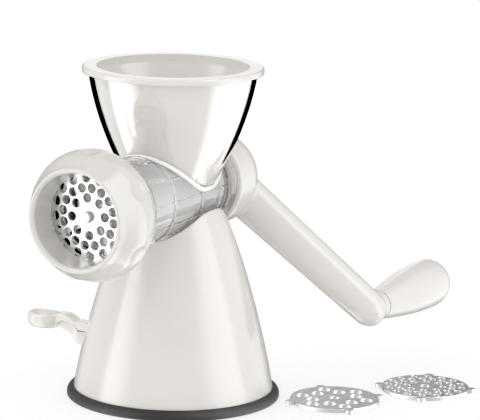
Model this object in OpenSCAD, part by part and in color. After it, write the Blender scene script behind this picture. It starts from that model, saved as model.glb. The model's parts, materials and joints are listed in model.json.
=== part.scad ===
// Hand-cranked meat grinder on a suction foot.
// Millimetres. Origin: centre of the foot on the table. +Z is up, the outlet faces -Y, the crank is at +Y.
// Places along the barrel are given as the distance forward (towards the outlet) of the upright axis.

/* [Body] */
// Height of the barrel's axis above the table
axis_h = 128; // [124:1:134]
// Outer diameter of the rubber foot ring
foot_d = 129.6; // [128:0.4:134]
// Height of the rubber foot ring
foot_h = 6; // [5:0.2:7]
// How far the foot ring stands out of the base cone
foot_lip = 3.4; // [2.6:0.2:4.4]
// Width of the foot ring's underside
foot_w = 11.5; // [10.5:0.5:13]
// How much the lower part of the cone's curve is drawn in
cone_belly = 1.8; // [1:0.1:3]
// Radius that the upper part of its curve bends towards
cone_waist_r = 39.7; // [38.6:0.1:41]
// Thickness of the cheeks that hold the barrel, at their top edge
cheek_lip = 1.5; // [1.2:0.1:2.4]
// Wall of the base cone
cone_wall = 3; // [2.4:0.1:3.6]
// Depth of the cheeks' top edge below the barrel's axis
cheek_drop = 10; // [8:0.5:14]

/* [Barrel and hopper] */
// Bore in which the auger turns
bore_d = 44; // [42:0.5:45]
// Wall of the clear barrel
barrel_wall = 3; // [2.4:0.1:3.4]
// How far the ribs stand out of the barrel
rib_h = 1.2; // [0.8:0.1:1.4]
// Width of a rib
rib_w = 1; // [0.8:0.1:1.6]
// Number of ribs along the barrel
rib_count = 11; // [8:1:14]
// Wall of the mouth that the ring nut is screwed on, outside the discs' tabs
mouth_wall = 2; // [1.6:0.1:2.6]
// Length of the mouth
mouth_len = 15.4; // [14:0.2:17]
// How far the flange at the back stands out of the barrel
flange_lip = 1.8; // [1.4:0.1:2.6]
// Distance from the upright axis back to the flange's outer face
flange_back = 28.7; // [27:0.1:31]
// How far the hopper stands forward of the upright axis
hopper_forward = 6; // [3:0.5:9]
// Height of the hopper's top above the barrel's axis
hopper_h = 75.5; // [70:0.5:80]
// Outer radius of the clear hopper under the funnel's rim
hopper_r = 50.7; // [49:0.1:52]
// Wall of the clear hopper
hopper_wall = 2.8; // [2.2:0.1:3.2]
// How far the funnel's rim stands out of the clear hopper
rim_lip = 3.8; // [2.8:0.1:6]
// Wall of the white funnel
funnel_wall = 1.7; // [1.4:0.1:2.2]
// Radius of the hole at the bottom of the funnel
throat_r = 15; // [13:0.5:16.5]

/* [Cutting parts] */
// Distance forward of the upright axis to the cutting disc's front face
disc_face = 102; // [100:0.5:106]
// Diameter of the cutting discs
disc_d = 54; // [53:0.2:54.6]
// Thickness of the cutting discs
disc_t = 2.4; // [2:0.1:3]
// How far the discs' four tabs stand out
tab_len = 4; // [3:0.1:4.6]
// Width of a tab
tab_w = 5.3; // [4.6:0.1:6.2]
// Hole diameter of the medium disc
medium_hole = 5.2; // [4.6:0.1:5.4]
// Hole diameter of the coarse disc
coarse_hole = 8; // [7:0.1:8.4]
// Diameter of the shaft's front stud, which carries the disc and the blade
stud_d = 6.4; // [5.6:0.1:6.8]
// Thickness of the cross blade
blade_t = 6; // [5:0.2:7]
// Distance from the cross blade's tips to the discs' edge
blade_in = 3; // [1.5:0.5:5]
// Square of the drive shaft in the auger and in the crank
square_w = 8.2; // [7.6:0.1:8.4]
// Radius of the auger's core
core_r = 7.5; // [7:0.1:9]
// Pitch of the auger's flight
flight_pitch = 25; // [20:1:32]

/* [Ring nut] */
// Greatest wall of the ring nut, over the mouth
nut_wall = 5.5; // [4.9:0.1:6.7]
// Length of the ring nut
nut_len = 28.5; // [27.5:0.5:31]
// How far its lip stands in front of the disc
lip_out = 15.5; // [14:0.5:17]
// How far its inner edge stands over the disc
outlet_lip = 1.8; // [1.2:0.1:2.6]
// Depth of the finger hollows
dimple_depth = 2.4; // [1.6:0.1:2.8]

/* [Crank] */
// How far the crank's hub stands out of the barrel's flange
hub_lip = 2.2; // [1.2:0.2:3.2]
// Length of the hub in front of its dome
hub_len = 14; // [12:0.5:16]
// Distance from the barrel's axis to the handle's axis
crank_throw = 122; // [116:0.5:130]
// Angle of the arm below the horizontal, as it stands in the picture
crank_drop = 39.6; // [20:0.1:50]
// Distance back to the middle of the arm, at the barrel's axis
arm_back = 55; // [53:0.5:58]
// How far the arm leans back on its way to the handle, which clears the foot
arm_lean = 22; // [21:0.5:28]
// Half the arm's width at the hub
arm_root_r = 13.6; // [12:0.2:15]
// Half the arm's width at the handle
arm_tip_r = 10.9; // [10:0.1:12]
// Radius of the handle's neck
neck_r = 9.4; // [8.8:0.1:9.8]
// Length of the hand grip
grip_len = 85; // [76:1:94]
// Greatest radius of the hand grip
grip_r = 15.4; // [13.6:0.1:16.4]
// Diameter of the pin that the grip turns on
grip_pin_d = 7; // [6:0.2:8]

/* [Suction foot] */
// How deep the lever's pivot lies inside the cone's outer face
lever_in = 6.6; // [6:0.1:7.4]
// Height of the lever's pivot
lever_h = 35.5; // [35:0.25:37]
// Width of the lever
lever_w = 8; // [7.4:0.2:9]
// How far the lever can be raised
lever_swing = 32; // [20:1:34]
// Length of the lever's inner tail
tail_len = 11; // [10:0.25:12]
// How far the tail points down at rest
tail_drop = 22; // [18:0.5:24]
// Diameter of the lever's pin, the bar's pin and the stem's pin
pin_d = 4; // [3.4:0.1:4.4]
// How much nearer to the upright axis the lift bar's pivot is than the lever's
anchor_in = 6; // [5.5:0.5:10]
// Thickness of the lift bar
bar_t = 4; // [3.4:0.1:4.6]
// Width of the lift bar
bar_w = 9; // [8:0.2:10]
// Thickness of the rubber suction pad at its rim
pad_t = 2.5; // [2:0.1:3]

/* [Spare discs] */
// Place of the coarse disc on the table to the right of the foot
coarse_x = 92; // [90:1:100]
// Place of the coarse disc on the table towards the back
coarse_y = 37; // [34:1:46]
// Place of the medium disc on the table to the right of the foot
medium_x = 127; // [124:1:140]
// Place of the medium disc on the table towards the back
medium_y = 92; // [88:1:104]

/* [Hidden] */

$fn = 96;
white = "#e9e6e0";
clear = "#d9dcde";
steel = "#b9bcc0";
black = "#232323";
dimple_r = 20;
gap = 0.3;              // space between pieces that move against each other
running = 0.05;         // radial clearance of a shaft in its bush
eps = 0.01;
through = 40;           // length of a cutter that passes right through
slit_w = 1;             // slots of the cross-head screws
slit_len = 4;

// The cutting discs
disc_r = disc_d / 2;
tab_r = disc_r + tab_len;
blade_r = disc_r - blade_in;
outer_ring = disc_r - 4.2;
middle_ring = outer_ring - 5.7;
inner_ring = middle_ring - 6;
coarse_outer = disc_r - 7.1;
coarse_inner = coarse_outer - 6;
disc_turn = 4;          // how far the front disc is turned in its notches

// The barrel
barrel_r = bore_d / 2 + barrel_wall;
taper = 1.4;            // the barrel is this much wider at its front collar
collar_back = 73.5;
collar_r = barrel_r + taper + 2.6;
rib_r = barrel_r + rib_h;
flange_r = barrel_r + flange_lip;
mouth_r = tab_r + mouth_wall;
nut_r = mouth_r + gap + nut_wall;
outlet_r = disc_r - outlet_lip;
disc_back = disc_face - disc_t;
mouth_front = disc_face - gap;
mouth_back = mouth_front - mouth_len;
recess_r = disc_r + gap;
recess_back = disc_back - blade_t - 1.2;
wall_front = 14.6;      // inner face of the barrel's rear wall, behind the upright axis
flange_t = 8.2;
bush_r = 10;
journal_r = square_w / sqrt(2) + 0.2;

// The base
saddle_r = flange_r + 0.2;
cone_top = axis_h - cheek_drop;
cone_foot_r = foot_d / 2 - foot_lip;
cone_crown_r = sqrt(saddle_r * saddle_r - cheek_drop * cheek_drop) + cheek_lip;
cone_curve = [[cone_foot_r, 0], [cone_foot_r - cone_belly, 22], [cone_waist_r, cone_top - 19.4],
    [cone_crown_r, cone_top]];
deck_top = axis_h - saddle_r;
deck_t = 5;
deck_low = deck_top - deck_t;
ledge_t = 2.6;          // rubber under the cone's edge
plate_low = 9.5;
plate_t = 3;
plate_top = plate_low + plate_t;
screw_r = 1.8;
screw_len = 14;
boss_r = 4.4;
fix_y = 12;             // the two screws that hold the barrel, in front of and behind the axis
fix_boss_r = 4.5;
fix_depth = 8;

// The hopper
hopper_top = axis_h + hopper_h - 4;
hopper_lean = 0.165;
hopper_bow = 0.00308;
rim_r = hopper_r + rim_lip;
hub_r = flange_r + hub_lip;
hub_room = 0.6;         // the hopper and the cone stand this clear of the crank's hub
relief_back = flange_back - 0.3;

// The suction foot
ring_in_r = foot_d / 2 - foot_w;
pad_r = ring_in_r - gap;
pad_flat_r = 30;        // the pad is thicker inside this radius
stem_r = 5;
stem_foot_r = 11;
yoke_drop = 6;          // the stirrup's floor below the lift bar
yoke_t = 3;
stirrup_t = 3;
stirrup_w = 8;
tail_r = 3;
lever_out = cone_r(lever_h) - lever_in;
anchor_out = lever_out - anchor_in;
plate_r = cone_r(plate_top) - cone_wall - 0.9;
screw_ring = plate_r - 9;
bar_low = lever_h - tail_len * sin(tail_drop) + tail_r + gap;
bar_mid = bar_low + bar_t / 2;
bar_end = lever_out - tail_len * cos(tail_drop) + 0.5;
tail_fall = tail_len * (sin(tail_drop + lever_swing) - sin(tail_drop));
pad_travel = tail_fall * anchor_out / (anchor_out + bar_end);
pad_low = pad_travel + gap;
stem_pin_h = bar_low + bar_t + gap + pin_d / 2;
ear_in = bar_w / 2 + gap;
ear_t = 3.5;
lever_room = lever_w / 2 + gap;
lug_t = 3.4;
web_w = 3;
cheek_t = 2;
arch_out = 27;
arch_low = 9.2;
arch_in_r = 10;
block_out = 21.7;       // the cheeks' outer edge, from the lever's pivot
block_r = 6;
block_h = 8.3;
slot_low = lever_h - 4.5;
slot_high = lever_h + 14.5;

// The crank
hub_front = flange_back + 0.5;
dome_back = hub_front + hub_len;
tail_back = arm_back + 1;
elbow_back = arm_back + arm_lean;
grip_start = elbow_back + 12.4;
elbow_x = crank_throw * cos(crank_drop);
elbow_z = axis_h - crank_throw * sin(crank_drop);
pin_end = grip_start + grip_len - 22;
pocket_r = grip_pin_d / 2 + 4;
pocket_floor = pin_end - 6;
cap_low = grip_start + grip_len - 2.4;

function bezier(p, t) = let (u = 1 - t)
    u * u * u * p[0] + 3 * u * u * t * p[1] + 3 * u * t * t * p[2] + t * t * t * p[3];
function share_at(p, z, a = 0, b = 1, n = 22) = let (m = (a + b) / 2)
    n == 0 ? m : bezier(p, m)[1] < z ? share_at(p, z, m, b, n - 1) : share_at(p, z, a, m, n - 1);
function cone_r(z) = bezier(cone_curve, share_at(cone_curve, z))[0];
function hopper_at(d) = hopper_r - hopper_lean * d - hopper_bow * d * d;
function arc(cx, cy, r, a0, a1, n = 8) =
    [for (i = [0:n]) let (a = a0 + (a1 - a0) * i / n) [cx + r * cos(a), cy + r * sin(a)]];

// Local +Z runs forward along the barrel, from the upright axis.
module along_barrel() {
    translate([0, 0, axis_h]) rotate([90, 0, 0]) children();
}

// Local +Z runs back along the handle's axis, from the upright axis.
module along_handle() {
    translate([elbow_x, 0, elbow_z]) rotate([-90, 0, 0]) children();
}

module tube(z0, z1, ro, ri) {
    difference() {
        translate([0, 0, z0]) cylinder(r = ro, h = z1 - z0);
        translate([0, 0, z0 - 1]) cylinder(r = ri, h = z1 - z0 + 2);
    }
}

// Cutter for the slots of a cross-head screw
module cross_slit(z, depth) {
    for (b = [0, 90]) rotate([0, 0, b]) translate([-slit_len / 2, -slit_w / 2, z])
        cube([slit_len, slit_w, depth]);
}

module foot_ring() {
    color(black) rotate_extrude() polygon([
        [ring_in_r, 0], [foot_d / 2 - 1, 0], [foot_d / 2, 1.1], [foot_d / 2, foot_h / 2],
        [cone_r(foot_h) + 0.8, foot_h], [cone_r(foot_h) + 0.1, foot_h],
        [cone_r(ledge_t) + 0.1, ledge_t], [ring_in_r, ledge_t]]);
}

cone_steps = 16;
cone_side = [for (i = [0:cone_steps])
    let (z = ledge_t + (cone_top - 3 - ledge_t) * i / cone_steps) [cone_r(z), z]];

module cone_solid() {
    rotate_extrude() polygon(concat([[0, ledge_t]], cone_side,
        [[cone_r(cone_top - 1) - 0.4, cone_top - 1], [cone_r(cone_top) - 1.6, cone_top], [0, cone_top]]));
}

module cone_hollow() {
    steps = 12;
    rotate_extrude() polygon(concat([[0, ledge_t - 1], [cone_r(ledge_t) - cone_wall, ledge_t - 1]],
        [for (i = [0:steps]) let (z = ledge_t + (deck_low - ledge_t) * i / steps) [cone_r(z) - cone_wall, z]],
        [[0, deck_low]]));
}

// Side view of the two cheeks that the lever rests on, outside the cone
module cheek_outline() {
    intersection() {
        union() {
            translate([-lever_out - block_out + block_r, slot_low + block_r - block_h]) circle(r = block_r);
            translate([-lever_out - block_out, slot_low + block_r - block_h]) square([block_r + 2, block_r]);
            translate([-lever_out - block_out + block_r, slot_low - block_h]) square([block_r * 2, block_h]);
        }
        union() {
            translate([-lever_out - arch_out, lever_h - arch_low]) circle(r = arch_in_r - gap);
            translate([-lever_out - through, 0]) square([through, slot_low]);
        }
    }
}

module base_cone() {
    lug_x = cone_r(lever_h) - 1;
    color(white) difference() {
        union() {
            difference() {
                cone_solid();
                cone_hollow();
            }
            intersection() {
                cone_solid();
                for (a = [45:90:315]) rotate([0, 0, a]) translate([screw_ring, 0, plate_top])
                    cylinder(r = boss_r, h = 34);
            }
            // lugs that carry the lever's pin, inside the cone
            for (side = [-1, 1]) translate([0, side * (lever_room + lug_t / 2), 0]) {
                translate([-lug_x, -lug_t / 2, lever_h - 6]) cube([lug_x - lever_out, lug_t, 12]);
                translate([-lever_out, 0, lever_h]) rotate([90, 0, 0])
                    cylinder(r = 6, h = lug_t, center = true);
            }
            // cheeks that the lever rests on, outside the cone
            for (side = [-1, 1]) difference() {
                translate([0, side * (web_w / 2 + gap + cheek_t / 2), 0]) rotate([90, 0, 0])
                    linear_extrude(cheek_t, center = true) cheek_outline();
                cone_hollow();
            }
        }
        along_barrel() {
            cylinder(r = saddle_r, h = foot_d * 2, center = true);
            translate([0, 0, -foot_d]) cylinder(r = hub_r + hub_room, h = foot_d - relief_back);
        }
        // slot for the lever, through the wall
        translate([-lever_out - 18, -lever_room, slot_low]) cube([19, lever_room * 2, slot_high - slot_low]);
        translate([-lever_out, through / 2, lever_h]) rotate([90, 0, 0]) cylinder(d = pin_d, h = through);
        for (a = [45:90:315]) rotate([0, 0, a]) translate([screw_ring, 0, plate_top - 1])
            cylinder(r = screw_r, h = screw_len + 1);
        for (y = [-fix_y, fix_y]) translate([0, y, deck_low - 1])
            cylinder(r = fix_boss_r + 0.2, h = deck_t + 4);
    }
}

module base_plate() {
    color(white) difference() {
        union() {
            translate([0, 0, plate_low]) cylinder(r = plate_r, h = plate_t);
            translate([0, 0, plate_low]) cylinder(r = stem_r + 4, h = plate_t * 3);
            for (side = [-1, 1]) translate([anchor_out, side * (ear_in + ear_t / 2), plate_top - eps]) {
                translate([0, 0, (bar_mid - plate_top) / 2])
                    cube([10, ear_t, bar_mid - plate_top], center = true);
                translate([0, 0, bar_mid - plate_top]) rotate([90, 0, 0])
                    cylinder(r = 5, h = ear_t, center = true);
            }
        }
        translate([0, 0, plate_low - 1]) cylinder(r = stem_r + gap, h = through);
        translate([anchor_out, through / 2, bar_mid]) rotate([90, 0, 0]) cylinder(d = pin_d, h = through);
        for (a = [45:90:315]) rotate([0, 0, a]) translate([screw_ring, 0, plate_low - 1]) {
            cylinder(r = screw_r + 0.3, h = plate_t + 2);
            cylinder(r = 3.6, h = 2.2);
        }
    }
}

module base_screws() {
    color(steel) for (a = [45:90:315]) rotate([0, 0, a]) translate([screw_ring, 0, plate_low]) difference() {
        union() {
            cylinder(r = 3.4, h = 1.2);
            cylinder(r = screw_r, h = screw_len);
        }
        cross_slit(-1, 1.7);
    }
}

module suction_pad() {
    top = pad_low + pad_t;
    color(black) rotate_extrude() polygon([
        [0, pad_low + 1.6], [pad_flat_r, pad_low + 1.2], [pad_r - 7, pad_low], [pad_r, pad_low],
        [pad_r, top - 1], [pad_r - 1, top], [pad_flat_r, top + 1], [stem_foot_r + 1, top + 1.4],
        [0, top + 1.4]]);
}

module pad_stem() {
    foot = pad_low + pad_t + 1.4;
    top = stem_pin_h + pin_d / 2 + 1.4;
    yoke_low = bar_low - yoke_drop;
    color(white) difference() {
        union() {
            translate([0, 0, foot]) cylinder(r = stem_foot_r, h = 1.4);
            translate([0, 0, foot]) cylinder(r = stem_r, h = yoke_low - foot + eps);
            translate([-stirrup_w / 2, -ear_in - stirrup_t, yoke_low])
                cube([stirrup_w, 2 * (ear_in + stirrup_t), yoke_t]);
            for (y = [-ear_in - stirrup_t, ear_in]) translate([-stirrup_w / 2, y, yoke_low])
                cube([stirrup_w, stirrup_t, top - yoke_low]);
        }
        translate([0, through / 2, stem_pin_h]) rotate([90, 0, 0]) cylinder(d = pin_d, h = through);
    }
}

module stem_pin() {
    len = bar_w + 2 * gap + 2 * stirrup_t;
    color(steel) translate([0, len / 2, stem_pin_h]) rotate([90, 0, 0]) cylinder(d = pin_d, h = len);
}

module lift_bar() {
    color(steel) difference() {
        union() {
            translate([-bar_end, -bar_w / 2, bar_low]) cube([bar_end + anchor_out, bar_w, bar_t]);
            translate([anchor_out, bar_w / 2, bar_mid]) rotate([90, 0, 0]) cylinder(r = 4.4, h = bar_w);
        }
        translate([anchor_out, through / 2, bar_mid]) rotate([90, 0, 0])
            cylinder(r = pin_d / 2 + running, h = through);
    }
}

module bar_pin() {
    len = 2 * (ear_in + ear_t);
    color(steel) translate([anchor_out, len / 2, bar_mid]) rotate([90, 0, 0]) cylinder(d = pin_d, h = len);
}

// The lever's side view, with the pivot at the origin and the paddle towards -X
module lever_neck() {
    difference() {
        translate([-30.5, -8.4]) circle(r = 13.6);
        translate([-arch_out, -arch_low]) circle(r = arch_in_r);
        translate([-50, -40]) square([60, 36]);
    }
    polygon([[-18.5, -4], [-20, 2], [-13, 1.2], [0, 5], [0, -5], [-4, -4]]);
    circle(r = 5.2);
    rotate([0, 0, -tail_drop]) translate([0, -2.4]) square([tail_len, 4.8]);
    rotate([0, 0, -tail_drop]) translate([tail_len, 0]) circle(r = tail_r);
}

module lever_web() {
    polygon([[-40, -2], [-35.5, -2.8], [-25.2, -7.5], [-18, -7.6], [-14, -3], [-18, 0], [-27, 3], [-35, 2]]);
}

module suction_lever() {
    paddle_x = 44.6;
    color(white) translate([-lever_out, 0, lever_h]) difference() {
        union() {
            rotate([90, 0, 0]) linear_extrude(lever_w, center = true) lever_neck();
            rotate([90, 0, 0]) linear_extrude(web_w, center = true) lever_web();
            translate([-paddle_x, 0, -5.6]) hull() {
                for (x = [-2.5, 2.5]) {
                    translate([x, 0, 3.2]) cylinder(r = 8.5, h = 5, $fn = 32);
                    translate([x, 0, 0.4]) cylinder(r = 6.4, h = 9.8, $fn = 32);
                }
            }
        }
        translate([-paddle_x, 0, 21.5]) sphere(r = 19.5);
        translate([0, through / 2, 0]) rotate([90, 0, 0]) cylinder(r = pin_d / 2 + running, h = through);
    }
}

module lever_pin() {
    len = 2 * (lever_room + lug_t);
    color(steel) translate([-lever_out, len / 2, lever_h]) rotate([90, 0, 0]) cylinder(d = pin_d, h = len);
}

module barrel_outside() {
    rotate_extrude() polygon([[0, -flange_back], [flange_r - 1, -flange_back], [flange_r, -flange_back + 1],
        [flange_r, -flange_back + flange_t - 1], [flange_r - 1, -flange_back + flange_t],
        [barrel_r, -flange_back + flange_t], [barrel_r, 0], [barrel_r + taper, collar_back],
        [collar_r, collar_back], [collar_r, mouth_back - 1], [mouth_r, mouth_back + 2],
        [mouth_r, mouth_front - 1], [mouth_r - 0.6, mouth_front], [0, mouth_front]]);
}

module ribs() {
    for (i = [0:rib_count - 1]) rotate([0, 0, 4 + i * 360 / rib_count])
        translate([barrel_r - 1, -rib_w / 2, -flange_back + 1])
            cube([rib_h + 1, rib_w, flange_back + collar_back]);
    for (s = [46, 12, -16]) translate([0, 0, s - rib_w / 2])
        cylinder(r = rib_r + taper * max(s, 0) / collar_back, h = rib_w);
}

hopper_steps = 12;
hopper_depth = hopper_h - 8;

// A solid of the hopper's curve, drawn in by a wall. Its back is flat where the crank's hub turns.
module hopper_solid(inset, top_extra = 0) {
    difference() {
        translate([0, -hopper_forward, 0]) rotate_extrude() polygon(concat(
            [[0, hopper_top + top_extra], [hopper_r - inset, hopper_top + top_extra]],
            [for (i = [0:hopper_steps])
                let (d = hopper_depth * i / hopper_steps) [hopper_at(d) - inset, hopper_top - d]],
            [[0, hopper_top - hopper_depth]]));
        along_barrel() translate([0, 0, -foot_d])
            cylinder(r = hub_r + hub_room + inset, h = foot_d - relief_back + inset);
    }
}

module throat() {
    translate([0, -hopper_forward, axis_h]) cylinder(r = throat_r, h = barrel_r + 6);
}

module barrel() {
    notch_w = tab_w + 0.6;
    color(clear) difference() {
        union() {
            along_barrel() barrel_outside();
            along_barrel() ribs();
            hopper_solid(0);
            for (y = [-fix_y, fix_y]) translate([0, y, deck_low + gap]) cylinder(r = fix_boss_r, h = 12);
            // latch nub on the flange's front
            along_barrel() rotate([0, 0, 6]) translate([barrel_r - 1, -3, -flange_back + flange_t - eps])
                cube([2.2, 6, 1.8]);
        }
        difference() {
            hopper_solid(hopper_wall, 1);
            along_barrel() cylinder(r = barrel_r, h = foot_d * 2, center = true);
        }
        throat();
        along_barrel() {
            translate([0, 0, -wall_front]) cylinder(d = bore_d, h = recess_back + wall_front + 1);
            translate([0, 0, recess_back]) cylinder(r = recess_r, h = through);
            translate([0, 0, -flange_back - 1]) cylinder(r = bush_r, h = through);
            for (a = [0:90:270]) rotate([0, 0, a + disc_turn]) translate([0, -notch_w / 2, disc_back])
                cube([tab_r + gap, notch_w, through]);
        }
        for (y = [-fix_y, fix_y]) translate([0, y, deck_low - 1]) cylinder(r = screw_r, h = fix_depth);
    }
}

module barrel_screws() {
    color(steel) for (y = [-fix_y, fix_y]) translate([0, y, deck_low]) difference() {
        union() {
            translate([0, 0, -1.2]) cylinder(r = 7, h = 1.2);
            translate([0, 0, -3.6]) cylinder(r = 3.4, h = 2.5);
            translate([0, 0, -1.3]) cylinder(r = screw_r, h = fix_depth);
        }
        cross_slit(-4.6, 2.2);
    }
}

module hopper_funnel() {
    top = axis_h + hopper_h;
    mid = hopper_top + 0.05;
    color(white) difference() {
        union() {
            hopper_solid(hopper_wall + gap, 1);
            translate([0, -hopper_forward, 0]) rotate_extrude() polygon([[0, mid], [rim_r - 1.6, mid],
                [rim_r, mid + 1.4], [rim_r, top - 1.2], [rim_r - 1.4, top], [0, top]]);
        }
        hopper_solid(hopper_wall + gap + funnel_wall, 6);
        throat();
        along_barrel() cylinder(r = barrel_r + gap, h = foot_d * 2, center = true);
    }
}

module ring_nut() {
    front = disc_face + lip_out;
    back = front - nut_len;
    inner_r = mouth_r + gap;
    color(white) along_barrel() difference() {
        rotate_extrude() polygon(concat(
            [[outlet_r, disc_face], [outlet_r + 2.4, front - 3]],
            arc(outlet_r + 4.4, front - 2.2, 2.2, 170, 45, 6),
            [[nut_r - 6.6, front - 3.5], [nut_r - 4.2, front - 7.5], [nut_r - 1.9, front - 11.5],
            [nut_r - 0.6, front - 15], [nut_r, front - 18.5], [nut_r - 0.2, back + 5],
            [nut_r - 1.2, back + 1.4], [nut_r - 2.3, back], [inner_r, back], [inner_r, disc_face]]));
        for (a = [30:60:330]) rotate([0, 0, a])
            translate([nut_r + dimple_r - dimple_depth, 0, front - 13]) sphere(r = dimple_r);
    }
}

module disc_blank() {
    cylinder(d = disc_d, h = disc_t);
    for (a = [0:90:270]) rotate([0, 0, a]) {
        translate([0, -tab_w / 2, 0]) cube([tab_r - tab_w / 2, tab_w, disc_t]);
        translate([tab_r - tab_w / 2, 0, 0]) cylinder(d = tab_w, h = disc_t);
    }
}

module hole_ring(count, radius, start, d) {
    for (i = [0:count - 1]) rotate([0, 0, start + i * 360 / count]) translate([radius, 0, -1])
        cylinder(d = d, h = disc_t + 2, $fn = 32);
}

module medium_plate() {
    difference() {
        disc_blank();
        hole_ring(8, inner_ring, 0, medium_hole);
        hole_ring(16, middle_ring, 11.25, medium_hole);
        hole_ring(16, outer_ring, 0, medium_hole);
        translate([0, 0, -1]) cylinder(r = stud_d / 2 + running, h = disc_t + 2);
    }
}

module coarse_plate() {
    difference() {
        disc_blank();
        hole_ring(6, coarse_inner, 0, coarse_hole);
        hole_ring(6, coarse_outer, 30, coarse_hole);
        translate([0, 0, -1]) cylinder(r = stud_d / 2 + running, h = disc_t + 2);
    }
}

module front_disc() {
    color(steel) along_barrel() translate([0, 0, disc_back]) rotate([0, 0, disc_turn]) medium_plate();
}

module coarse_disc() {
    color(steel) translate([coarse_x, coarse_y, 0]) rotate([0, 0, 45]) coarse_plate();
}

module medium_disc() {
    color(steel) translate([medium_x, medium_y, 0]) rotate([0, 0, 20]) medium_plate();
}

module cross_blade() {
    back = disc_back - gap - blade_t;
    color(steel) along_barrel() translate([0, 0, back]) difference() {
        union() {
            cylinder(r = 8.6, h = blade_t);
            for (a = [0:90:270]) rotate([0, 0, a + 28]) linear_extrude(blade_t)
                polygon([[0, -3], [blade_r, -1.4], [blade_r - 0.8, 3], [0, 4]]);
        }
        translate([-square_w / 2, -square_w / 2, -1]) cube([square_w, square_w, blade_t + 2]);
        // the arms are relieved behind their cutting edges
        for (a = [0:90:270]) rotate([0, 0, a + 28]) translate([9.5, 0.4, -1]) cube([20, 6, blade_t - 1.6]);
    }
}

// The flight is left-handed, so that it pushes forward when the crank turns clockwise, seen from behind.
module auger_screw() {
    back = 9.7;
    len = disc_back - gap - blade_t - 0.2 + back;
    outer = bore_d / 2 - 0.7;
    turns = len / flight_pitch;
    color(white) along_barrel() translate([0, 0, -back]) difference() {
        union() {
            cylinder(r = core_r, h = len);
            linear_extrude(len, twist = 360 * turns, slices = ceil(turns * 20), $fn = 6)
                polygon([[0, -2.6], [core_r + 2, -2], [outer, -1.1], [outer, 1.1], [core_r + 2, 2],
                    [0, 2.6]]);
        }
        translate([-square_w / 2, -square_w / 2, -1]) cube([square_w, square_w, len + 2]);
    }
}

module drive_shaft() {
    square_len = disc_back - gap + 10;
    color(steel) along_barrel() difference() {
        union() {
            translate([0, 0, disc_back - gap - eps]) cylinder(d = stud_d, h = disc_t + 5.2);
            translate([-square_w / 2, -square_w / 2, -10]) cube([square_w, square_w, square_len]);
            translate([0, 0, -13]) cylinder(r = 9, h = 3.01);
            translate([0, 0, -hub_front - 2.5]) cylinder(r = journal_r, h = hub_front - 10);
            translate([-square_w / 2, -square_w / 2, -tail_back])
                cube([square_w, square_w, tail_back - hub_front - 2]);
        }
        translate([0, 0, -tail_back - 1]) cylinder(r = 2.5, h = 13);
    }
}

module rear_bush() {
    color(white) along_barrel() tube(-flange_back + 2.6, -wall_front - 0.1, bush_r, journal_r + running);
}

module shaft_seal() {
    color(black) along_barrel() tube(-flange_back, -flange_back + 2.6, bush_r, journal_r + gap);
}

module thrust_washer() {
    color(steel) along_barrel() tube(-wall_front, -wall_front + 1.3, 12, journal_r + gap);
}

module crank_solid() {
    root = 14;
    lean = arm_lean * root / crank_throw;
    along_barrel() rotate_extrude() polygon(concat(
        [[0, -hub_front], [hub_r - 0.8, -hub_front], [hub_r, -hub_front - 0.8]],
        [for (i = [0:9]) let (a = i * 9) [hub_r * cos(a), -dome_back - (hub_r - 1.5) * sin(a)]],
        [[0, -dome_back - hub_r + 1.5]]));
    hull() {
        translate([root * cos(crank_drop), arm_back + lean, axis_h - root * sin(crank_drop)])
            scale([1, 0.86, 1]) sphere(r = arm_root_r, $fn = 32);
        translate([elbow_x, elbow_back, elbow_z]) sphere(r = arm_tip_r, $fn = 32);
    }
    along_handle() translate([0, 0, elbow_back]) cylinder(r = neck_r, h = grip_start - gap - elbow_back);
}

module crank_arm() {
    boss = 11;
    color(white) difference() {
        crank_solid();
        along_barrel() {
            // hollow of the hub, around the socket's boss
            rotate_extrude() polygon([[boss, -hub_front + 1], [hub_r - 3.2, -hub_front + 1],
                [hub_r - 3.2, -dome_back], [hub_r - 6.4, -dome_back - 9], [boss, -dome_back - 9]]);
            translate([-square_w / 2, -square_w / 2, -tail_back - running])
                cube([square_w, square_w, tail_back - hub_front + 2]);
            translate([0, 0, -hub_front - 2.5]) cylinder(r = journal_r, h = 10);
            translate([0, 0, -dome_back - through]) cylinder(r = 2.7, h = through);
            translate([0, 0, -dome_back - through])
                cylinder(r = 8, h = through - (tail_back + 3 - dome_back));
        }
        along_handle() translate([0, 0, elbow_back - 6]) cylinder(d = grip_pin_d, h = 30);
    }
}

module crank_washer() {
    seat = tail_back + 3;
    color(steel) along_barrel() tube(-seat - 1.4, -seat, 7.2, 2.7);
}

module crank_screw() {
    seat = tail_back + 4.4;
    color(steel) along_barrel() difference() {
        union() {
            translate([0, 0, -seat - 4]) cylinder(r = 4.6, h = 4);
            translate([0, 0, -seat - eps]) cylinder(r = 2.5, h = 14);
        }
        for (b = [0, 90]) rotate([0, 0, b]) translate([-3, -0.6, -seat - 5]) cube([6, 1.2, 2.6]);
    }
}

module grip_pin() {
    color(steel) along_handle() {
        translate([0, 0, elbow_back - 6]) cylinder(d = grip_pin_d, h = pin_end - elbow_back + 6);
    }
}

// Radius of the grip at a share of its length, from the neck to the end
function grip_at(t) = neck_r + (grip_r - neck_r) * pow(sin(90 * min(t / 0.8, 1)), 1.15);

module grip_outline() {
    end_r = 11;
    steps = 14;
    turn = 0.84;        // share of the length at which the rounded end begins
    polygon(concat([[0, grip_start]],
        [for (i = [0:steps]) let (t = turn * i / steps) [grip_at(t), grip_start + t * grip_len]],
        [for (a = [11.25:11.25:90])
            [grip_r - end_r * (1 - cos(a)), grip_start + (turn + (1 - turn) * sin(a)) * grip_len]],
        [[0, grip_start + grip_len]]));
}

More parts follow.
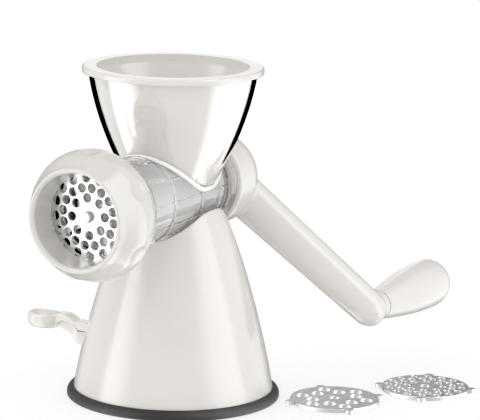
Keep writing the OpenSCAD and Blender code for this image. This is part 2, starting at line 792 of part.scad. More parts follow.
module hand_grip() {
    color(white) along_handle() difference() {
        rotate_extrude() grip_outline();
        translate([0, 0, grip_start - 1]) cylinder(r = grip_pin_d / 2 + running, h = grip_len);
        translate([0, 0, pocket_floor]) cylinder(r = pocket_r, h = grip_len);
        translate([0, 0, cap_low]) cylinder(r = pocket_r + 1.6, h = 10);
    }
}

module grip_clip() {
    seat = pocket_floor + gap;
    color(steel) along_handle() tube(seat, seat + 1, pocket_r - gap, grip_pin_d / 2);
}

module grip_cap() {
    color(white) along_handle() {
        intersection() {
            rotate_extrude() grip_outline();
            translate([0, 0, cap_low]) cylinder(r = pocket_r + 1.6, h = 10);
        }
        difference() {
            translate([0, 0, cap_low - 7]) cylinder(r = pocket_r, h = 7.2);
            translate([0, 0, cap_low - 8]) cylinder(r = pocket_r - 1.6, h = 8);
        }
    }
}

foot_ring();
base_cone();
base_plate();
base_screws();
suction_pad();
pad_stem();
stem_pin();
lift_bar();
bar_pin();
suction_lever();
lever_pin();
barrel();
barrel_screws();
hopper_funnel();
ring_nut();
front_disc();
cross_blade();
auger_screw();
drive_shaft();
rear_bush();
shaft_seal();
thrust_washer();
crank_arm();
crank_screw();
crank_washer();
grip_pin();
hand_grip();
grip_clip();
grip_cap();
coarse_disc();
medium_disc();
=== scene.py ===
"""A hand-cranked meat grinder on a suction foot: the looks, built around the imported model."""

import json
from math import atan2, cos, pi, radians, sin, sqrt

import bmesh
import bpy
from mathutils import Matrix, Vector


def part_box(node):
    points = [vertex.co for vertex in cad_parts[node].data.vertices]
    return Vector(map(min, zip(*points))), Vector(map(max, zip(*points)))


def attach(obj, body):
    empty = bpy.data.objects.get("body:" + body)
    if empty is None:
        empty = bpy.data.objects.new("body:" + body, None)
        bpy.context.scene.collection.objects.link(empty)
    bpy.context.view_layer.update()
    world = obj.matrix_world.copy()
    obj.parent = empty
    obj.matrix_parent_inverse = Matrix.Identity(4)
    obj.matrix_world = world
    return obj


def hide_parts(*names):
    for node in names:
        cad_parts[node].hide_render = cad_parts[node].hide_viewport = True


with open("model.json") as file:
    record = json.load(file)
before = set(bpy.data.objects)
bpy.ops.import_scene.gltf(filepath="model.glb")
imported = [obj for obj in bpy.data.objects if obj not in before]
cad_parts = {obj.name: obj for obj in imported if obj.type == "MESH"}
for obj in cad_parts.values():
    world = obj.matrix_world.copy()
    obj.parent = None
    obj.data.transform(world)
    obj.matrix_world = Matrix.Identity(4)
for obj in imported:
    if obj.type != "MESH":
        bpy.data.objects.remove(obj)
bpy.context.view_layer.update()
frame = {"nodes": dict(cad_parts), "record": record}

# Lengths below are in millimetres, and meshes are made in metres.
MM = 0.001
TINY = 1e-6
FAR = 130  # further from the middle than any part that a cutter goes through
UP = Vector((0, 0, 1))


def node_box(node):
    low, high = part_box(node)
    return low / MM, high / MM


# Driving sizes, read from the frame. The model faces -y, so "forward" below is -y and "back" is y.
disc_low, disc_high = node_box("front_disc")
funnel_low, funnel_high = node_box("hopper_funnel")
nut_low, nut_high = node_box("ring_nut")
grip_low, grip_high = node_box("hand_grip")
foot_high = node_box("foot_ring")[1]
cone_high = node_box("base_cone")[1]
crank_low = node_box("crank_arm")[0]

axis_h = (disc_low.z + disc_high.z) / 2
disc_face = -disc_low.y
disc_t = disc_high.y - disc_low.y
disc_back = disc_face - disc_t
tab_r = (disc_high.x - disc_low.x) / 2
foot_r = foot_high.x
foot_top = foot_high.z
nut_r = nut_high.x
nut_front = -nut_low.y
nut_back = -nut_high.y
rim_r = funnel_high.x
rim_top = funnel_high.z
hopper_forward = -(funnel_low.y + funnel_high.y) / 2
cone_top = cone_high.z
hub_front = crank_low.y
flange_back = hub_front - 0.5

# Clearances, as the part's source has them
gap = 0.3
hub_room = 0.6

# The base
foot_in_r = 53.3
ledge = 2.6
cone_foot_r = foot_r - 3.4
cone_belly_r = cone_foot_r - 1.8
cone_waist_r = 39.7
cone_wall = 3
cone_edge_r = 1.5
ray_r, ray_z = 14, 90  # where the rays that find the cone's top start

# The barrel and the hopper. Places along the barrel are distances forward of the cone's middle.
bore_r = 22
barrel_r = 25
taper = 1.4
collar_back = 73.5
collar_r = barrel_r + taper + 2.6
tab_w = 5.3
disc_r = tab_r - 4
mouth_r = tab_r + 2
mouth_front = disc_face - gap
mouth_back = mouth_front - 15.4
blade_t = 6
recess_back = disc_back - blade_t - 1.2
recess_r = disc_r + gap
recess_depth = 40
wall_front = 14.6
bush_r = 10
disc_turn = radians(4)
outer_ring = disc_r - 4.2
middle_ring = outer_ring - 5.7
inner_ring = middle_ring - 6
coarse_outer = disc_r - 7.1
coarse_inner = coarse_outer - 6
medium_hole = 5.2
coarse_hole = 8
stud_r = 3.2
running = 0.05
square_w = 8.2
journal_r = square_w / sqrt(2) + 0.2
flange_r = barrel_r + 1.8
flange_t = 8.2
saddle_r = flange_r + 0.2
rib_h = 1.2
rib_w = 1.8
rib_count = 11
rib_rings = (46, 12, -16)
hopper_r = 50.7
hopper_top = rim_top - 4
hopper_wall = 2.8
hopper_lean = 0.165
hopper_bow = 0.00308
hopper_depth = 67.5
funnel_wall = 1.7
throat_r = 15
throat_up = 6
relief_back = flange_back - gap
fix_y = 12
fix_r = 4.5
deck_top = axis_h - saddle_r
deck_low = deck_top - 5
screw_r = 1.8
screw_places = [(0, -fix_y), (0, fix_y)]

# The crank and its grip
hub_r = flange_r + 2.2
dome_back = hub_front + 14
crank_throw = 122
crank_drop = radians(39.6)
arm_back = 55
tail_back = arm_back + 1
arm_lean = 22
arm_root = 14
arm_root_r = 13.6
arm_tip_r = 10.9
neck_r = 9.4
elbow = Vector((crank_throw * cos(crank_drop), arm_back + arm_lean, axis_h - crank_throw * sin(crank_drop)))
grip_start = grip_low.y
grip_end = grip_high.y
grip_len = grip_end - grip_start
grip_r = (grip_high.x - grip_low.x) / 2

# The suction lever
lever_out = 48.02
lever_h = 35.5
lever_w = 8
lever_room = lever_w / 2 + gap
web_w = 3
slot_low = 31
slot_high = 50
arch_out = 27
arch_low = 9.2
arch_in_r = 10
paddle_out = 44.6
tail_drop = radians(22)
tail_len = 11


def upright(p):
    return Vector(p) * MM


def forward(p):
    """From (across, up, distance forward) around the barrel's axis to the row frame."""
    return Vector((p[0], -p[2], axis_h + p[1])) * MM


def backward(p):
    """From (across, down, distance back) around the handle's axis to the row frame."""
    return Vector((elbow.x + p[0], p[2], elbow.z - p[1])) * MM


def over_hopper(p):
    return Vector((p[0], p[1] - hopper_forward, p[2])) * MM


def beside_lever(p):
    """From (along, up, across) around the lever's pivot to the row frame."""
    return Vector((p[0] - lever_out, -p[2], lever_h + p[1])) * MM


# Meshes
def mesh_piece(name, points, faces, place=upright):
    mesh = bpy.data.meshes.new(name)
    mesh.from_pydata([place(p) for p in points], [], faces)
    mesh.update()
    piece = bpy.data.objects.new(name, mesh)
    bpy.context.scene.collection.objects.link(piece)
    outwards(piece)
    return piece


def outwards(piece):
    bm = bmesh.new()
    bm.from_mesh(piece.data)
    bmesh.ops.recalc_face_normals(bm, faces=bm.faces)
    bm.to_mesh(piece.data)
    bm.free()


def smooth(piece, sharp=32):
    """Smooth shading, with a crease wherever two faces meet at more than sharp degrees."""
    bm = bmesh.new()
    bm.from_mesh(piece.data)
    for face in bm.faces:
        face.smooth = True
    for edge in bm.edges:
        edge.smooth = len(edge.link_faces) != 2 or edge.calc_face_angle(0) < radians(sharp)
    bm.to_mesh(piece.data)
    bm.free()
    return piece


def rounded(corners, steps=5):
    """A line through the corners, each (x, y) or (x, y, cut). A cut corner becomes a curve that starts that
    far from it, or a little less than halfway to the next corner."""
    most = 0.48
    line = []
    last = len(corners) - 1
    for i, corner in enumerate(corners):
        here = Vector(corner[:2])
        if len(corner) < 3 or i in (0, last):
            line.append(here)
            continue
        before = Vector(corners[i - 1][:2]) - here
        after = Vector(corners[i + 1][:2]) - here
        d = min(corner[2], before.length * most, after.length * most)
        start = here + before.normalized() * d
        end = here + after.normalized() * d
        for k in range(steps + 1):
            t = k / steps
            line.append(start * (1 - t) ** 2 + here * 2 * t * (1 - t) + end * t * t)
    return line


def skin(name, rings, place=upright, closed=False):
    """A mesh through rings of points. A ring of one point is a pole, and closed joins the last ring to the
    first."""
    points = [p for ring in rings for p in ring]
    numbers = []
    for ring in rings:
        start = numbers[-1][-1] + 1 if numbers else 0
        numbers.append(list(range(start, start + len(ring))))
    faces = []
    pairs = list(zip(numbers, numbers[1:]))
    if closed:
        pairs.append((numbers[-1], numbers[0]))
    for low, high in pairs:
        n = max(len(low), len(high))
        for i in range(n):
            j = (i + 1) % n
            if len(low) == 1:
                faces.append((low[0], high[j], high[i]))
            elif len(high) == 1:
                faces.append((low[i], low[j], high[0]))
            else:
                faces.append((low[i], low[j], high[j], high[i]))
    return mesh_piece(name, points, faces, place)


def lathe(name, line, place=upright, steps=192, closed=False, shape=None):
    """The line's points (r, z) turned round the axis. shape(angle, r, z) may move each point."""
    rings = []
    for r, z in line:
        ring = []
        for i in range(steps if r > TINY else 1):
            a = 2 * pi * i / steps
            rr, zz = shape(a, r, z) if shape else (r, z)
            ring.append((rr * cos(a), rr * sin(a), zz))
        rings.append(ring)
    return skin(name, rings, place, closed)


def through_points(points, steps=4):
    """A smooth line (Catmull-Rom) through the points."""
    line = []
    last = len(points) - 1
    for i in range(last):
        p0, p1, p2, p3 = [Vector(points[min(max(k, 0), last)]) for k in (i - 1, i, i + 1, i + 2)]
        for k in range(steps):
            t = k / steps
            line.append(((2 * p1) + (p2 - p0) * t + (2 * p0 - 5 * p1 + 4 * p2 - p3) * t * t
                         + (3 * p1 - p0 - 3 * p2 + p3) * t ** 3) / 2)
    return line + [Vector(points[-1])]


def softer(a, b, k):
    """The larger of two numbers, rounded off where they are nearer than k."""
    h = max(k - abs(a - b), 0) / k
    return max(a, b) + h * h * k / 4


def rod(r, z0, z1, place=upright, centre=(0, 0), steps=96):
    def moved(p):
        return place((p[0] + centre[0], p[1] + centre[1], p[2]))
    return lathe("rod", [(0, z0), (r, z0), (r, z1), (0, z1)], moved, steps)


def block(low, high, place=upright, turn=0):
    c, s = cos(turn), sin(turn)
    corners = [(x, y, z) for z in (low[2], high[2]) for y in (low[1], high[1]) for x in (low[0], high[0])]
    points = [(x * c - y * s, x * s + y * c, z) for x, y, z in corners]
    faces = [(0, 1, 3, 2), (4, 6, 7, 5), (0, 4, 5, 1), (2, 3, 7, 6), (0, 2, 6, 4), (1, 5, 7, 3)]
    return mesh_piece("block", points, faces, place)


def slab(name, outline, low, high, place=upright):
    """A flat outline, (x, y) points, from low to high along the third direction."""
    n = len(outline)
    points = [(x, y, low) for x, y in outline] + [(x, y, high) for x, y in outline]
    faces = [tuple(range(n)), tuple(range(n, 2 * n))]
    faces += [(i, (i + 1) % n, n + (i + 1) % n, n + i) for i in range(n)]
    return mesh_piece(name, points, faces, place)


def ball(r, centre, scale=(1, 1, 1), place=upright):
    steps = 48
    line = [(r * sin(pi * i / steps), -r * cos(pi * i / steps)) for i in range(steps + 1)]
    line[0] = (0, -r)
    line[-1] = (0, r)

    def moved(p):
        return place([c + v * s for c, v, s in zip(centre, p, scale)])
    return lathe("ball", line, moved, 2 * steps)


def settle(piece):
    """Applies the piece's modifiers."""
    graph = bpy.context.evaluated_depsgraph_get()
    mesh = bpy.data.meshes.new_from_object(piece.evaluated_get(graph))
    old = piece.data
    piece.modifiers.clear()
    piece.data = mesh
    bpy.data.meshes.remove(old)
    mesh.name = piece.name
    return piece


def combine(piece, tools, operation):
    for tool in tools:
        step = piece.modifiers.new("step", "BOOLEAN")
        step.operation = operation
        step.solver = "MANIFOLD"
        step.object = tool
    settle(piece)
    for tool in tools:
        bpy.data.objects.remove(tool)
    return piece


def join(piece, tools):
    return combine(piece, tools, "UNION")


def cut(piece, tools):
    return combine(piece, tools, "DIFFERENCE")


def melt(piece, voxel, rounds):
    """Joins what overlaps in a mesh into one skin and softens its corners."""
    remesh = piece.modifiers.new("melt", "REMESH")
    remesh.mode = "VOXEL"
    remesh.voxel_size = voxel * MM
    soften = piece.modifiers.new("soften", "SMOOTH")
    soften.factor = 0.5
    soften.iterations = rounds
    return settle(piece)


def gather(piece, others):
    """Adds the others' meshes to the piece's mesh."""
    bm = bmesh.new()
    bm.from_mesh(piece.data)
    for other in others:
        bm.from_mesh(other.data)
        bpy.data.objects.remove(other)
    bm.to_mesh(piece.data)
    bm.free()
    return piece


def dress(piece, name, body, slot, material, *nodes):
    """Names the piece, gives it its material and puts it in the place of CAD nodes, on their body."""
    piece.name = name
    piece.data.name = name
    piece.data.materials.clear()
    piece.data.materials.append(material)
    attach(piece, body)
    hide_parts(*nodes)
    return piece


# Materials
NOISE_RANGE = (0.3, 0.7)  # most of a noise texture's values lie in it


def arithmetic(tree, operation, *values):
    """A Math node on numbers and sockets."""
    node = tree.nodes.new("ShaderNodeMath")
    node.operation = operation
    for socket, value in zip(node.inputs, values):
        if isinstance(value, (int, float)):
            socket.default_value = value
        else:
            tree.links.new(value, socket)
    return node.outputs["Value"]


class Paint:
    """A Principled material whose colour, roughness and relief come from noise in the object's own space."""

    def __init__(self, name, colour, roughness, **sockets):
        self.material = bpy.data.materials.new(name)
        self.material.use_nodes = True
        self.tree = self.material.node_tree
        self.shader = self.tree.nodes["Principled BSDF"]
        self.shader.inputs["Base Color"].default_value = (*colour, 1)
        self.shader.inputs["Roughness"].default_value = roughness
        self.colour = colour
        self.roughness = roughness
        for socket, value in sockets.items():
            self.shader.inputs[socket.replace("_", " ")].default_value = value
        self.place = self.add("ShaderNodeTexCoord").outputs["Object"]

    def add(self, kind, **settings):
        node = self.tree.nodes.new(kind)
        for key, value in settings.items():
            setattr(node, key, value)
        return node

    def link(self, out, to):
        self.tree.links.new(out, to)

    def noise(self, scale, detail=3, stretch=(1, 1, 1), turn=(0, 0, 0)):
        mapping = self.add("ShaderNodeMapping")
        mapping.inputs["Scale"].default_value = stretch
        mapping.inputs["Rotation"].default_value = turn
        self.link(self.place, mapping.inputs["Vector"])
        texture = self.add("ShaderNodeTexNoise")
        texture.inputs["Scale"].default_value = scale
        texture.inputs["Detail"].default_value = detail
        self.link(mapping.outputs["Vector"], texture.inputs["Vector"])
        return texture.outputs["Fac"]

    def between(self, factor, low, high, source=NOISE_RANGE):
        """A number that runs from low to high while factor crosses the source range."""
        spread = self.add("ShaderNodeMapRange")
        for socket, value in zip(("From Min", "From Max", "To Min", "To Max"), (*source, low, high)):
            spread.inputs[socket].default_value = value
        self.link(factor, spread.inputs["Value"])
        return spread.outputs["Result"]

    def tint(self, factor, low, high):
        """Colour between low and high times the base colour."""
        ramp = self.add("ShaderNodeValToRGB")
        ramp.color_ramp.elements[0].position = NOISE_RANGE[0]
        ramp.color_ramp.elements[1].position = NOISE_RANGE[1]
        ramp.color_ramp.elements[0].color = (*[c * low for c in self.colour], 1)
        ramp.color_ramp.elements[1].color = (*[min(c * high, 1) for c in self.colour], 1)
        self.link(factor, ramp.inputs["Fac"])
        self.link(ramp.outputs["Color"], self.shader.inputs["Base Color"])

    def gloss(self, factor, low, high):
        self.link(self.between(factor, low, high), self.shader.inputs["Roughness"])

    def relief(self, factor, depth):
        bump = self.add("ShaderNodeBump")
        bump.inputs["Distance"].default_value = depth * MM
        self.link(factor, bump.inputs["Height"])
        self.link(bump.outputs["Normal"], self.shader.inputs["Normal"])


def moulded(name, colour, rough=(0.13, 0.2)):
    """Glossy moulded plastic: a slight swirl in its colour and gloss, and a faint waviness."""
    paint = Paint(name, colour, sum(rough) / 2, IOR=1.5)
    paint.tint(paint.noise(35, 2), 0.99, 1.01)
    paint.gloss(paint.noise(120, 4), *rough)
    paint.relief(paint.noise(90, 2), 0.02)
    return paint.material


def brushed(name, colour, stretch, rough, depth, turn=(0, 0, 0), metallic=1):
    """Steel with a grain: noise that may be drawn out along one direction."""
    paint = Paint(name, colour, sum(rough) / 2, Metallic=metallic)
    grain = paint.noise(900, 3, stretch, turn)
    paint.tint(grain, 0.93, 1.05)
    paint.gloss(paint.noise(600, 2, stretch, turn), *rough)
    paint.relief(grain, depth)
    return paint.material


def clear_plastic(name):
    """Polished outside, and frosted and a little grey in the bore where the auger turns. Light that only has
    to reach what is behind goes straight through."""
    frost_colour = (0.50, 0.512, 0.53)
    frost_rough = 0.4
    frost_range = [(bore_r + 0.4) * MM, (bore_r + 1.2) * MM]
    paint = Paint(name, (1, 1, 1), 0.04, IOR=1.49, Transmission_Weight=1)
    from_axis = paint.add("ShaderNodeVectorMath", operation="MULTIPLY_ADD")
    from_axis.inputs[1].default_value = (1, 0, 1)
    from_axis.inputs[2].default_value = (0, 0, -axis_h * MM)
    paint.link(paint.place, from_axis.inputs[0])
    distance = paint.add("ShaderNodeVectorMath", operation="LENGTH")
    paint.link(from_axis.outputs["Vector"], distance.inputs[0])
    frosted = paint.between(distance.outputs["Value"], 1, 0, frost_range)
    milky = paint.add("ShaderNodeValToRGB")
    milky.color_ramp.elements[0].color = (1, 1, 1, 1)
    milky.color_ramp.elements[1].color = (*frost_colour, 1)
    paint.link(frosted, milky.inputs["Fac"])
    paint.link(milky.outputs["Color"], paint.shader.inputs["Base Color"])
    rough = paint.add("ShaderNodeMath", operation="MULTIPLY_ADD")
    rough.inputs[1].default_value = frost_rough
    paint.link(frosted, rough.inputs[0])
    paint.link(paint.between(paint.noise(60, 3), 0.01, 0.03), rough.inputs[2])
    paint.link(rough.outputs["Value"], paint.shader.inputs["Roughness"])
    paint.relief(paint.noise(45, 2), 0.012)
    path = paint.add("ShaderNodeLightPath")
    mix = paint.add("ShaderNodeMixShader")
    passes = arithmetic(paint.tree, "MAXIMUM", path.outputs["Is Shadow Ray"], path.outputs["Is Diffuse Ray"])
    paint.link(passes, mix.inputs["Fac"])
    paint.link(paint.shader.outputs["BSDF"], mix.inputs[1])
    paint.link(paint.add("ShaderNodeBsdfTransparent").outputs["BSDF"], mix.inputs[2])
    paint.link(mix.outputs["Shader"], paint.tree.nodes["Material Output"].inputs["Surface"])
    return paint.material


def rubber(name, colour):
    """Dull rubber with a fine, pebbly relief."""
    paint = Paint(name, colour, 0.5, IOR=1.45)
    paint.tint(paint.noise(60, 3), 0.9, 1.15)
    paint.gloss(paint.noise(500, 3), 0.42, 0.6)
    paint.relief(paint.noise(1500, 3), 0.03)
    return paint.material


WHITE = moulded("white_plastic", (0.755, 0.73, 0.70))
# the nut's darker copy of the white plastic is painted shade: the nut takes less light than the cone
NUT_SHADED_WHITE = moulded("nut_painted_shade_plastic", (0.67, 0.648, 0.618))
CLEAR = clear_plastic("clear_plastic")
# the bead's opaque white is painted light: it stands in for bright light carried through the thick clear
# fillet
BEAD_PAINTED_LIGHT = moulded("bead_painted_light", (0.93, 0.93, 0.93))
DISC_STEEL = brushed("brushed_disc_steel", (0.58, 0.58, 0.58), (1, 0.04, 0.04), (0.24, 0.4), 0.01,
                     turn=(0, radians(42), 0))
STEEL = brushed("turned_steel", (0.72, 0.72, 0.725), (3, 0.36, 3), (0.28, 0.36), 0.002)
BLADE_STEEL = brushed("blasted_steel", (0.82, 0.82, 0.82), (1, 1, 1), (0.45, 0.6), 0.002, metallic=0.3)
BLACK = rubber("black_rubber", (0.016, 0.016, 0.016))

MATERIALS = {"white_plastic": WHITE, "clear_plastic": CLEAR, "steel": STEEL, "black_rubber": BLACK}


def dress_nodes():
    """Every CAD node gets its slot's material, those that a finer piece replaces too. The discs and the blade
    have steel of their own."""
    slots = {s["node"]: s["material_slot"] for s in frame["record"]["subparts"]}
    for name, node in frame["nodes"].items():
        material = MATERIALS[slots[name]]
        node.data.materials.clear()
        node.data.materials.append(material)
    for name in ("front_disc", "coarse_disc", "medium_disc"):
        frame["nodes"][name].data.materials[0] = DISC_STEEL
    frame["nodes"]["cross_blade"].data.materials[0] = BLADE_STEEL


# Pieces
def bezier(p, t):
    u = 1 - t
    return u ** 3 * p[0] + 3 * u * u * t * p[1] + 3 * u * t * t * p[2] + t ** 3 * p[3]


def cone_table(steps=400):
    """(height, radius) along the base cone's outer face, a Bezier curve through the foot and the crown."""
    belly_h, waist_down, crown_spare = 22, 19.4, 1.5
    crown_r = sqrt(saddle_r ** 2 - (axis_h - cone_top) ** 2) + crown_spare
    radii = (cone_foot_r, cone_belly_r, cone_waist_r, crown_r)
    heights = (0, belly_h, cone_top - waist_down, cone_top)
    return [(bezier(heights, i / steps), bezier(radii, i / steps)) for i in range(steps + 1)]


CONE = cone_table()


def cone_r(z):
    """Radius of the base cone's outer face at a height."""
    crown_slope = 0.8
    if z <= CONE[0][0]:
        return CONE[0][1]
    low, high = 0, len(CONE) - 1
    if z >= CONE[high][0]:
        return CONE[high][1] - (z - CONE[high][0]) * crown_slope
    while high - low > 1:
        middle = (low + high) // 2
        if CONE[middle][0] < z:
            low = middle
        else:
            high = middle
    (z0, r0), (z1, r1) = CONE[low], CONE[high]
    return r0 + (r1 - r0) * (z - z0) / (z1 - z0)


def hopper_at(depth):
    """Radius of the hopper's outer face at a depth below its rim."""
    return hopper_r - hopper_lean * depth - hopper_bow * depth * depth


def make_foot():
    lip, fit = 1.4, 0.1
    line = rounded([(foot_in_r, ledge), (foot_in_r, 0, 0.6), (foot_r, 0, 1.3),
                    (foot_r, foot_top / 2 + 0.6, 1.6), (cone_r(foot_top) + lip, foot_top, 0.8),
                    (cone_r(foot_top) + fit, foot_top, 0.3), (cone_r(ledge) + fit, ledge)])
    foot = lathe("foot", line, steps=256, closed=True)
    dress(smooth(foot), "foot_tyre", "base", "black_rubber", BLACK, "foot_ring")


def cone_edge(a, count=84):
    """The cone's top in the upright plane at an angle: from its side over the rounded edge to the middle of
    the saddle. Rays find it, and the points that are kept lie closer together where it turns."""
    end = atan2(deck_top - ray_z, -ray_r)
    rays, ray_len, halvings = 150, 60, 24
    turn_share = 9

    def outside(r, z):
        across = sqrt((r * cos(a)) ** 2 + (z - axis_h) ** 2)
        d = softer(r - cone_r(z), z - cone_top, cone_edge_r)
        d = softer(d, saddle_r - across, cone_edge_r)
        relief = min(hub_r + hub_room - across, r * sin(a) - relief_back)
        return softer(d, relief, cone_edge_r)

    line = []
    for k in range(rays + 1):
        angle = end * k / rays
        near, far = 0, ray_len
        for _ in range(halvings):
            middle = (near + far) / 2
            if outside(abs(ray_r + middle * cos(angle)), ray_z + middle * sin(angle)) < 0:
                near = middle
            else:
                far = middle
        line.append(Vector((ray_r + near * cos(angle), ray_z + near * sin(angle))))
    reach = [0]
    for k in range(1, rays + 1):
        step = line[k] - line[k - 1]
        before = line[k - 1] - line[k - 2] if k > 1 else step
        turn = abs(before.angle_signed(step, 0)) if min(step.length, before.length) > TINY else 0
        reach.append(reach[-1] + step.length + turn_share * turn)
    even = []
    k = 0
    for i in range(count):
        goal = reach[-1] * i / count
        while reach[k + 1] < goal:
            k += 1
        t = (goal - reach[k]) / max(reach[k + 1] - reach[k], TINY)
        even.append(line[k].lerp(line[k + 1], t))
    return even


def make_cone():
    turns, wall_rings = 288, 30
    lug_t, lug_r, pin_r = 3.4, 6, 2
    slot_out = 18
    angles = [2 * pi * j / turns for j in range(turns)]

    def ring(r, z):
        return [(r * cos(a), r * sin(a), z) for a in angles]

    heights = [ledge + (deck_low - ledge) * i / wall_rings for i in range(wall_rings + 1)]
    inside = [[(0, 0, deck_low)]] + [ring(cone_r(z) - cone_wall, z) for z in reversed(heights)]
    heights = [ledge + (ray_z - ledge) * i / wall_rings for i in range(wall_rings)]
    outside = [ring(cone_r(z), z) for z in heights]
    edges = [cone_edge(a) for a in angles]
    top = [[(p[i][0] * cos(a), p[i][0] * sin(a), p[i][1]) for p, a in zip(edges, angles)]
           for i in range(len(edges[0]))]
    cone = skin("cone", inside + outside + top + [[(0, 0, deck_top)]])
    lug_x = cone_r(lever_h) - 1
    extra = []
    for side in (-1, 1):
        y = side * (lever_room + lug_t / 2)
        y0, y1 = y - lug_t / 2, y + lug_t / 2
        extra.append(block((-lug_x, y0, lever_h - lug_r), (-lever_out, y1, lever_h + lug_r)))
        extra.append(rod(lug_r, -y1, -y0, beside_lever))
        extra.append(make_cheek(side))
    join(cone, extra)
    pin_end = lever_room + lug_t + 1
    tools = [block((-lever_out - slot_out, -lever_room, slot_low), (-lever_out + 1, lever_room, slot_high)),
             rod(pin_r, -pin_end, pin_end, beside_lever)]
    tools += [rod(fix_r + 0.2, deck_low - 1, deck_top + 4, centre=place) for place in screw_places]
    cut(cone, tools)
    dress(smooth(cone, 38), "cone_shell", "base", "white_plastic", WHITE, "base_cone")


def make_cheek(side):
    """One of the two cheeks that the lever rests on outside the cone. Its web passes between them."""
    low, right, left = slot_low - 8.3, -lever_out - 3.7, -lever_out - 21.7
    half = 1
    arch = Vector((-lever_out - arch_out, lever_h - arch_low))
    top = [arch + Vector((cos(radians(t)), sin(radians(t)))) * (arch_in_r - gap) for t in (29, 38, 47, 56.8)]
    line = rounded([(right, slot_low), (right, low), (left, low, 5.6), (left, top[-1].y)], 8)
    outline = [tuple(p) for p in line] + [tuple(p) for p in reversed(top)]
    middle = side * (web_w / 2 + gap + half)

    def beside(p):
        return Vector((p[0], p[2], p[1])) * MM
    cheek = slab("cheek", outline, middle - half, middle + half, beside)
    bevel = cheek.modifiers.new("bevel", "BEVEL")
    bevel.width = 0.35 * MM
    bevel.segments = 2
    bevel.limit_method = "ANGLE"
    return settle(cheek)


def hopper_solid(inset, extra):
    """The hopper's curve drawn in by a wall, flat at the back where the crank's hub turns."""
    steps = 40
    line = [(0, hopper_top + extra), (hopper_r - inset, hopper_top + extra)]
    line += [(hopper_at(hopper_depth * i / steps) - inset, hopper_top - hopper_depth * i / steps)
             for i in range(steps + 1)]
    line.append((0, hopper_top - hopper_depth))
    solid = lathe("hopper", line, over_hopper, steps=256)
    return cut(solid, [rod(hub_r + hub_room + inset, -FAR, -relief_back + inset, forward, steps=192)])


def throat():
    return rod(throat_r, axis_h, axis_h + barrel_r + throat_up, over_hopper)


def make_funnel():
    funnel = hopper_solid(hopper_wall + gap, 1)
    seat = hopper_top + 0.05
    line = rounded([(0, seat), (rim_r, seat, 1.1), (rim_r, rim_top, 1.4), (0, rim_top)], 6)
    join(funnel, [lathe("rim", line, over_hopper, steps=256)])
    cut(funnel, [hopper_solid(hopper_wall + gap + funnel_wall, 6), throat(),
                 rod(barrel_r + gap, -FAR, FAR, forward, steps=192)])
    dress(smooth(funnel), "funnel_shell", "funnel", "white_plastic", WHITE, "hopper_funnel")


def barrel_out(s):
    """Radius of the barrel's outer face."""
    return barrel_r + taper * max(s, 0) / collar_back


def barrel_rib(angle):
    """A rib along the barrel, with slanted sides, that follows its taper."""
    foot_share, back_share = 1.2, 0.4
    points = []
    for s in (-flange_back + 1, 0, collar_back):
        out = barrel_out(s)
        for r, share in ((out - 1, foot_share), (out + rib_h * 0.6, back_share)):
            for side in (-1, 1):
                y = side * share * rib_w / 2
                points.append((r * cos(angle) - y * sin(angle), r * sin(angle) + y * cos(angle), s))
    faces = [(0, 1, 3, 2), (8, 9, 11, 10)]
    for k in (0, 4):
        faces += [(k + i, k + j, k + j + 4, k + i + 4) for i, j in ((0, 1), (1, 3), (3, 2), (2, 0))]
    return mesh_piece("rib", points, faces, forward)


def make_bead():
    """The bead where the hopper's wall runs into the barrel. Its opaque white is painted light, standing in
    for the bright light that the thick clear fillet carries.
    """
    r, steps, around = 1.6, 160, 16
    start_depth, depth_step = 20, 0.05
    line = []
    for i in range(steps):
        a = 2 * pi * i / steps
        depth = start_depth
        while depth < hopper_depth:
            reach = hopper_at(depth)
            x, s = reach * cos(a), hopper_forward - reach * sin(a)
            if sqrt(x * x + (hopper_top - depth - axis_h) ** 2) < barrel_out(s):
                break
            depth += depth_step
        line.append(Vector((reach * cos(a), reach * sin(a), hopper_top - depth)))
    rings = []
    for i, p in enumerate(line):
        along = (line[(i + 1) % steps] - line[i - 1]).normalized()
        wide = along.cross(Vector((p.x, p.y, 0))).normalized()
        deep = wide.cross(along)
        turns = [2 * pi * k / around for k in range(around)]
        rings.append([tuple(p + (wide * cos(t) + deep * sin(t)) * r) for t in turns])
    bead = skin("bead", rings, over_hopper, closed=True)
    cut(bead, [rod(hub_r + hub_room, -FAR, -relief_back, forward, steps=192)])
    dress(smooth(bead, 60), "hopper_bead", "base", "clear_plastic", BEAD_PAINTED_LIGHT, "barrel")


def rib_ring(s):
    """A rib around the barrel, with a bevelled back."""
    out = barrel_out(s) + rib_h * 0.7
    side = [(0, 1.2), (out - 0.9, 1.2), (out - 0.2, 0.75), (out, 0.3)]
    line = [(r, s - half) for r, half in side] + [(r, s + half) for r, half in reversed(side)]
    return lathe("ring", line, forward, steps=256)


